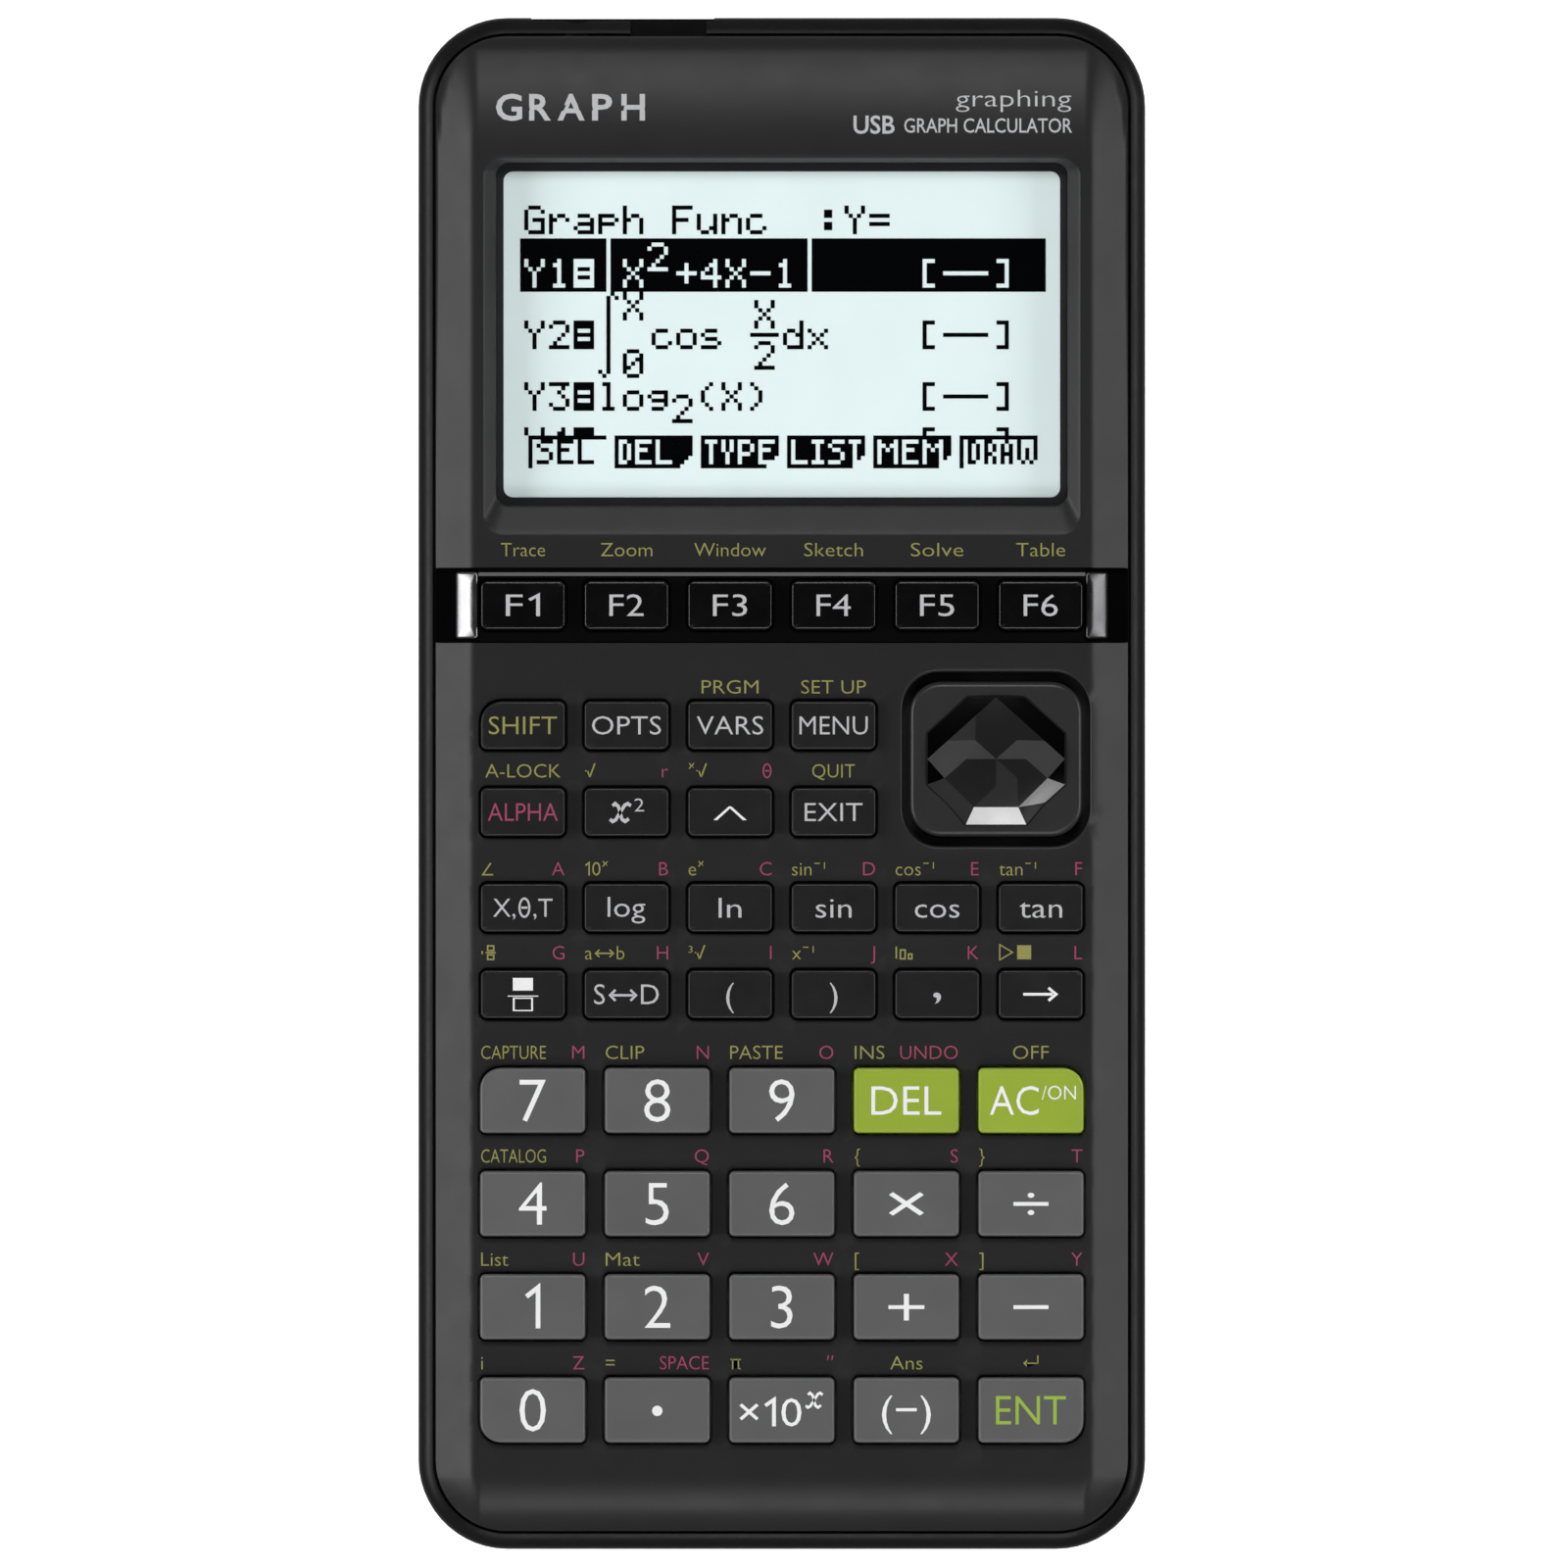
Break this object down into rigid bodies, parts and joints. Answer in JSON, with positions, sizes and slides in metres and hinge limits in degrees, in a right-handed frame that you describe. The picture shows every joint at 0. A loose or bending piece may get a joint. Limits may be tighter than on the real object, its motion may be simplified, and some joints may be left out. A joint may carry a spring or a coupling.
{
  "type": "graphing calculator",
  "caption": "Hand-held graphing calculator with a dot-matrix display, sprung keys, a gloss function-key strip, a rocking cursor pad and a hooked battery cover.",
  "frame": {"origin": "middle of the rectangle the calculator covers, on the plane under its four feet", "axes": "+X to the right of the keypad, +Y along the length towards the display end, +Z out of the keys; it lies on its back"},
  "size_m": [0.0834, 0.1756, 0.0213],
  "materials": {
    "front_shell": "fine satin texture",
    "rear_shell": "fine spark-eroded texture",
    "window": "clear, hard coated",
    "display": "grey reflective panel",
    "gloss_panel": "polished black",
    "bright_trim": "polished",
    "mat": "matt",
    "boards": "solder mask",
    "cells": "printed sleeve",
    "fasteners": "black zinc",
    "feet": "matt",
    "dark_keys": "satin",
    "grey_keys": "satin",
    "green_keys": "satin",
    "cursor": "polished, cut facets",
    "restart": "satin"
  },
  "bodies": {
    "case": {"front_case": "front_shell", "rear_case": "rear_shell", "display_window": "window", "display_panel": "display", "function_panel": "gloss_panel", "key_mat": "mat", "circuit_boards": "boards", "batteries": "cells", "screws": "fasteners", "feet": "feet"},
    "battery_cover": {"battery_cover": "rear_shell"},
    "cursor_pivot": {"cursor_pivot": "mat"},
    "cursor_pad": {"cursor_pad": "cursor"},
    "restart_button": {"restart_button": "restart"},
    "key_f1": {"key_f1": "dark_keys"},
    "key_f2": {"key_f2": "dark_keys"},
    "key_f3": {"key_f3": "dark_keys"},
    "key_f4": {"key_f4": "dark_keys"},
    "key_f5": {"key_f5": "dark_keys"},
    "key_f6": {"key_f6": "dark_keys"},
    "key_shift": {"key_shift": "dark_keys"},
    "key_options": {"key_options": "dark_keys"},
    "key_variables": {"key_variables": "dark_keys"},
    "key_menu": {"key_menu": "dark_keys"},
    "key_alpha": {"key_alpha": "dark_keys"},
    "key_square": {"key_square": "dark_keys"},
    "key_power": {"key_power": "dark_keys"},
    "key_exit": {"key_exit": "dark_keys"},
    "key_x": {"key_x": "dark_keys"},
    "key_log": {"key_log": "dark_keys"},
    "key_ln": {"key_ln": "dark_keys"},
    "key_sin": {"key_sin": "dark_keys"},
    "key_cos": {"key_cos": "dark_keys"},
    "key_tan": {"key_tan": "dark_keys"},
    "key_fraction": {"key_fraction": "dark_keys"},
    "key_convert": {"key_convert": "dark_keys"},
    "key_bracket_open": {"key_bracket_open": "dark_keys"},
    "key_bracket_close": {"key_bracket_close": "dark_keys"},
    "key_comma": {"key_comma": "dark_keys"},
    "key_store": {"key_store": "dark_keys"},
    "key_7": {"key_7": "grey_keys"},
    "key_8": {"key_8": "grey_keys"},
    "key_9": {"key_9": "grey_keys"},
    "key_4": {"key_4": "grey_keys"},
    "key_5": {"key_5": "grey_keys"},
    "key_6": {"key_6": "grey_keys"},
    "key_times": {"key_times": "grey_keys"},
    "key_divide": {"key_divide": "grey_keys"},
    "key_1": {"key_1": "grey_keys"},
    "key_2": {"key_2": "grey_keys"},
    "key_3": {"key_3": "grey_keys"},
    "key_plus": {"key_plus": "grey_keys"},
    "key_minus": {"key_minus": "grey_keys"},
    "key_0": {"key_0": "grey_keys"},
    "key_point": {"key_point": "grey_keys"},
    "key_exponent": {"key_exponent": "grey_keys"},
    "key_negate": {"key_negate": "grey_keys"},
    "key_execute": {"key_execute": "grey_keys"},
    "key_delete": {"key_delete": "green_keys"},
    "key_clear": {"key_clear": "green_keys"}
  },
  "joints": [
    {"name": "key_f1_press", "type": "slide", "parent": "case", "child": "key_f1", "axis": [0, 0, -1], "range_m": [0, 0.001], "stiffness_N_per_m": 600, "springref_m": -0.0006, "deforming": ["key_mat"]},
    {"name": "key_f2_press", "type": "slide", "parent": "case", "child": "key_f2", "axis": [0, 0, -1], "range_m": [0, 0.001], "stiffness_N_per_m": 600, "springref_m": -0.0006, "deforming": ["key_mat"]},
    {"name": "key_f3_press", "type": "slide", "parent": "case", "child": "key_f3", "axis": [0, 0, -1], "range_m": [0, 0.001], "stiffness_N_per_m": 600, "springref_m": -0.0006, "deforming": ["key_mat"]},
    {"name": "key_f4_press", "type": "slide", "parent": "case", "child": "key_f4", "axis": [0, 0, -1], "range_m": [0, 0.001], "stiffness_N_per_m": 600, "springref_m": -0.0006, "deforming": ["key_mat"]},
    {"name": "key_f5_press", "type": "slide", "parent": "case", "child": "key_f5", "axis": [0, 0, -1], "range_m": [0, 0.001], "stiffness_N_per_m": 600, "springref_m": -0.0006, "deforming": ["key_mat"]},
    {"name": "key_f6_press", "type": "slide", "parent": "case", "child": "key_f6", "axis": [0, 0, -1], "range_m": [0, 0.001], "stiffness_N_per_m": 600, "springref_m": -0.0006, "deforming": ["key_mat"]},
    {"name": "key_shift_press", "type": "slide", "parent": "case", "child": "key_shift", "axis": [0, 0, -1], "range_m": [0, 0.001], "stiffness_N_per_m": 600, "springref_m": -0.0006, "deforming": ["key_mat"]},
    {"name": "key_options_press", "type": "slide", "parent": "case", "child": "key_options", "axis": [0, 0, -1], "range_m": [0, 0.001], "stiffness_N_per_m": 600, "springref_m": -0.0006, "deforming": ["key_mat"]},
    {"name": "key_variables_press", "type": "slide", "parent": "case", "child": "key_variables", "axis": [0, 0, -1], "range_m": [0, 0.001], "stiffness_N_per_m": 600, "springref_m": -0.0006, "deforming": ["key_mat"]},
    {"name": "key_menu_press", "type": "slide", "parent": "case", "child": "key_menu", "axis": [0, 0, -1], "range_m": [0, 0.001], "stiffness_N_per_m": 600, "springref_m": -0.0006, "deforming": ["key_mat"]},
    {"name": "key_alpha_press", "type": "slide", "parent": "case", "child": "key_alpha", "axis": [0, 0, -1], "range_m": [0, 0.001], "stiffness_N_per_m": 600, "springref_m": -0.0006, "deforming": ["key_mat"]},
    {"name": "key_square_press", "type": "slide", "parent": "case", "child": "key_square", "axis": [0, 0, -1], "range_m": [0, 0.001], "stiffness_N_per_m": 600, "springref_m": -0.0006, "deforming": ["key_mat"]},
    {"name": "key_power_press", "type": "slide", "parent": "case", "child": "key_power", "axis": [0, 0, -1], "range_m": [0, 0.001], "stiffness_N_per_m": 600, "springref_m": -0.0006, "deforming": ["key_mat"]},
    {"name": "key_exit_press", "type": "slide", "parent": "case", "child": "key_exit", "axis": [0, 0, -1], "range_m": [0, 0.001], "stiffness_N_per_m": 600, "springref_m": -0.0006, "deforming": ["key_mat"]},
    {"name": "key_x_press", "type": "slide", "parent": "case", "child": "key_x", "axis": [0, 0, -1], "range_m": [0, 0.001], "stiffness_N_per_m": 600, "springref_m": -0.0006, "deforming": ["key_mat"]},
    {"name": "key_log_press", "type": "slide", "parent": "case", "child": "key_log", "axis": [0, 0, -1], "range_m": [0, 0.001], "stiffness_N_per_m": 600, "springref_m": -0.0006, "deforming": ["key_mat"]},
    {"name": "key_ln_press", "type": "slide", "parent": "case", "child": "key_ln", "axis": [0, 0, -1], "range_m": [0, 0.001], "stiffness_N_per_m": 600, "springref_m": -0.0006, "deforming": ["key_mat"]},
    {"name": "key_sin_press", "type": "slide", "parent": "case", "child": "key_sin", "axis": [0, 0, -1], "range_m": [0, 0.001], "stiffness_N_per_m": 600, "springref_m": -0.0006, "deforming": ["key_mat"]},
    {"name": "key_cos_press", "type": "slide", "parent": "case", "child": "key_cos", "axis": [0, 0, -1], "range_m": [0, 0.001], "stiffness_N_per_m": 600, "springref_m": -0.0006, "deforming": ["key_mat"]},
    {"name": "key_tan_press", "type": "slide", "parent": "case", "child": "key_tan", "axis": [0, 0, -1], "range_m": [0, 0.001], "stiffness_N_per_m": 600, "springref_m": -0.0006, "deforming": ["key_mat"]},
    {"name": "key_fraction_press", "type": "slide", "parent": "case", "child": "key_fraction", "axis": [0, 0, -1], "range_m": [0, 0.001], "stiffness_N_per_m": 600, "springref_m": -0.0006, "deforming": ["key_mat"]},
    {"name": "key_convert_press", "type": "slide", "parent": "case", "child": "key_convert", "axis": [0, 0, -1], "range_m": [0, 0.001], "stiffness_N_per_m": 600, "springref_m": -0.0006, "deforming": ["key_mat"]},
    {"name": "key_bracket_open_press", "type": "slide", "parent": "case", "child": "key_bracket_open", "axis": [0, 0, -1], "range_m": [0, 0.001], "stiffness_N_per_m": 600, "springref_m": -0.0006, "deforming": ["key_mat"]},
    {"name": "key_bracket_close_press", "type": "slide", "parent": "case", "child": "key_bracket_close", "axis": [0, 0, -1], "range_m": [0, 0.001], "stiffness_N_per_m": 600, "springref_m": -0.0006, "deforming": ["key_mat"]},
    {"name": "key_comma_press", "type": "slide", "parent": "case", "child": "key_comma", "axis": [0, 0, -1], "range_m": [0, 0.001], "stiffness_N_per_m": 600, "springref_m": -0.0006, "deforming": ["key_mat"]},
    {"name": "key_store_press", "type": "slide", "parent": "case", "child": "key_store", "axis": [0, 0, -1], "range_m": [0, 0.001], "stiffness_N_per_m": 600, "springref_m": -0.0006, "deforming": ["key_mat"]},
    {"name": "key_7_press", "type": "slide", "parent": "case", "child": "key_7", "axis": [0, 0, -1], "range_m": [0, 0.001], "stiffness_N_per_m": 600, "springref_m": -0.0006, "deforming": ["key_mat"]},
    {"name": "key_8_press", "type": "slide", "parent": "case", "child": "key_8", "axis": [0, 0, -1], "range_m": [0, 0.001], "stiffness_N_per_m": 600, "springref_m": -0.0006, "deforming": ["key_mat"]},
    {"name": "key_9_press", "type": "slide", "parent": "case", "child": "key_9", "axis": [0, 0, -1], "range_m": [0, 0.001], "stiffness_N_per_m": 600, "springref_m": -0.0006, "deforming": ["key_mat"]},
    {"name": "key_4_press", "type": "slide", "parent": "case", "child": "key_4", "axis": [0, 0, -1], "range_m": [0, 0.001], "stiffness_N_per_m": 600, "springref_m": -0.0006, "deforming": ["key_mat"]},
    {"name": "key_5_press", "type": "slide", "parent": "case", "child": "key_5", "axis": [0, 0, -1], "range_m": [0, 0.001], "stiffness_N_per_m": 600, "springref_m": -0.0006, "deforming": ["key_mat"]},
    {"name": "key_6_press", "type": "slide", "parent": "case", "child": "key_6", "axis": [0, 0, -1], "range_m": [0, 0.001], "stiffness_N_per_m": 600, "springref_m": -0.0006, "deforming": ["key_mat"]},
    {"name": "key_times_press", "type": "slide", "parent": "case", "child": "key_times", "axis": [0, 0, -1], "range_m": [0, 0.001], "stiffness_N_per_m": 600, "springref_m": -0.0006, "deforming": ["key_mat"]},
    {"name": "key_divide_press", "type": "slide", "parent": "case", "child": "key_divide", "axis": [0, 0, -1], "range_m": [0, 0.001], "stiffness_N_per_m": 600, "springref_m": -0.0006, "deforming": ["key_mat"]},
    {"name": "key_1_press", "type": "slide", "parent": "case", "child": "key_1", "axis": [0, 0, -1], "range_m": [0, 0.001], "stiffness_N_per_m": 600, "springref_m": -0.0006, "deforming": ["key_mat"]},
    {"name": "key_2_press", "type": "slide", "parent": "case", "child": "key_2", "axis": [0, 0, -1], "range_m": [0, 0.001], "stiffness_N_per_m": 600, "springref_m": -0.0006, "deforming": ["key_mat"]},
    {"name": "key_3_press", "type": "slide", "parent": "case", "child": "key_3", "axis": [0, 0, -1], "range_m": [0, 0.001], "stiffness_N_per_m": 600, "springref_m": -0.0006, "deforming": ["key_mat"]},
    {"name": "key_plus_press", "type": "slide", "parent": "case", "child": "key_plus", "axis": [0, 0, -1], "range_m": [0, 0.001], "stiffness_N_per_m": 600, "springref_m": -0.0006, "deforming": ["key_mat"]},
    {"name": "key_minus_press", "type": "slide", "parent": "case", "child": "key_minus", "axis": [0, 0, -1], "range_m": [0, 0.001], "stiffness_N_per_m": 600, "springref_m": -0.0006, "deforming": ["key_mat"]},
    {"name": "key_0_press", "type": "slide", "parent": "case", "child": "key_0", "axis": [0, 0, -1], "range_m": [0, 0.001], "stiffness_N_per_m": 600, "springref_m": -0.0006, "deforming": ["key_mat"]},
    {"name": "key_point_press", "type": "slide", "parent": "case", "child": "key_point", "axis": [0, 0, -1], "range_m": [0, 0.001], "stiffness_N_per_m": 600, "springref_m": -0.0006, "deforming": ["key_mat"]},
    {"name": "key_exponent_press", "type": "slide", "parent": "case", "child": "key_exponent", "axis": [0, 0, -1], "range_m": [0, 0.001], "stiffness_N_per_m": 600, "springref_m": -0.0006, "deforming": ["key_mat"]},
    {"name": "key_negate_press", "type": "slide", "parent": "case", "child": "key_negate", "axis": [0, 0, -1], "range_m": [0, 0.001], "stiffness_N_per_m": 600, "springref_m": -0.0006, "deforming": ["key_mat"]},
    {"name": "key_execute_press", "type": "slide", "parent": "case", "child": "key_execute", "axis": [0, 0, -1], "range_m": [0, 0.001], "stiffness_N_per_m": 600, "springref_m": -0.0006, "deforming": ["key_mat"]},
    {"name": "key_delete_press", "type": "slide", "parent": "case", "child": "key_delete", "axis": [0, 0, -1], "range_m": [0, 0.001], "stiffness_N_per_m": 600, "springref_m": -0.0006, "deforming": ["key_mat"]},
    {"name": "key_clear_press", "type": "slide", "parent": "case", "child": "key_clear", "axis": [0, 0, -1], "range_m": [0, 0.001], "stiffness_N_per_m": 600, "springref_m": -0.0006, "deforming": ["key_mat"]},
    {"name": "cursor_rock_up_down", "type": "hinge", "parent": "case", "child": "cursor_pivot", "pos_m": [0.0245, 0.0028, 0.0156], "axis": [1, 0, 0], "range_deg": [-3, 3], "stiffness_Nm_per_rad": 0.2, "deforming": ["key_mat"]},
    {"name": "cursor_rock_left_right", "type": "hinge", "parent": "cursor_pivot", "child": "cursor_pad", "pos_m": [0.0245, 0.0028, 0.0156], "axis": [0, 1, 0], "range_deg": [-3, 3], "stiffness_Nm_per_rad": 0.2, "deforming": ["key_mat"]},
    {"name": "battery_cover_swing", "type": "hinge", "parent": "case", "child": "battery_cover", "pos_m": [0, 0.07762, 0.0008], "axis": [1, 0, 0], "range_deg": [0, 70]},
    {"name": "restart_button_press", "type": "slide", "parent": "case", "child": "restart_button", "axis": [0, 0, 1], "range_m": [0, 0.0003], "stiffness_N_per_m": 400, "springref_m": -0.0005}
  ]
}
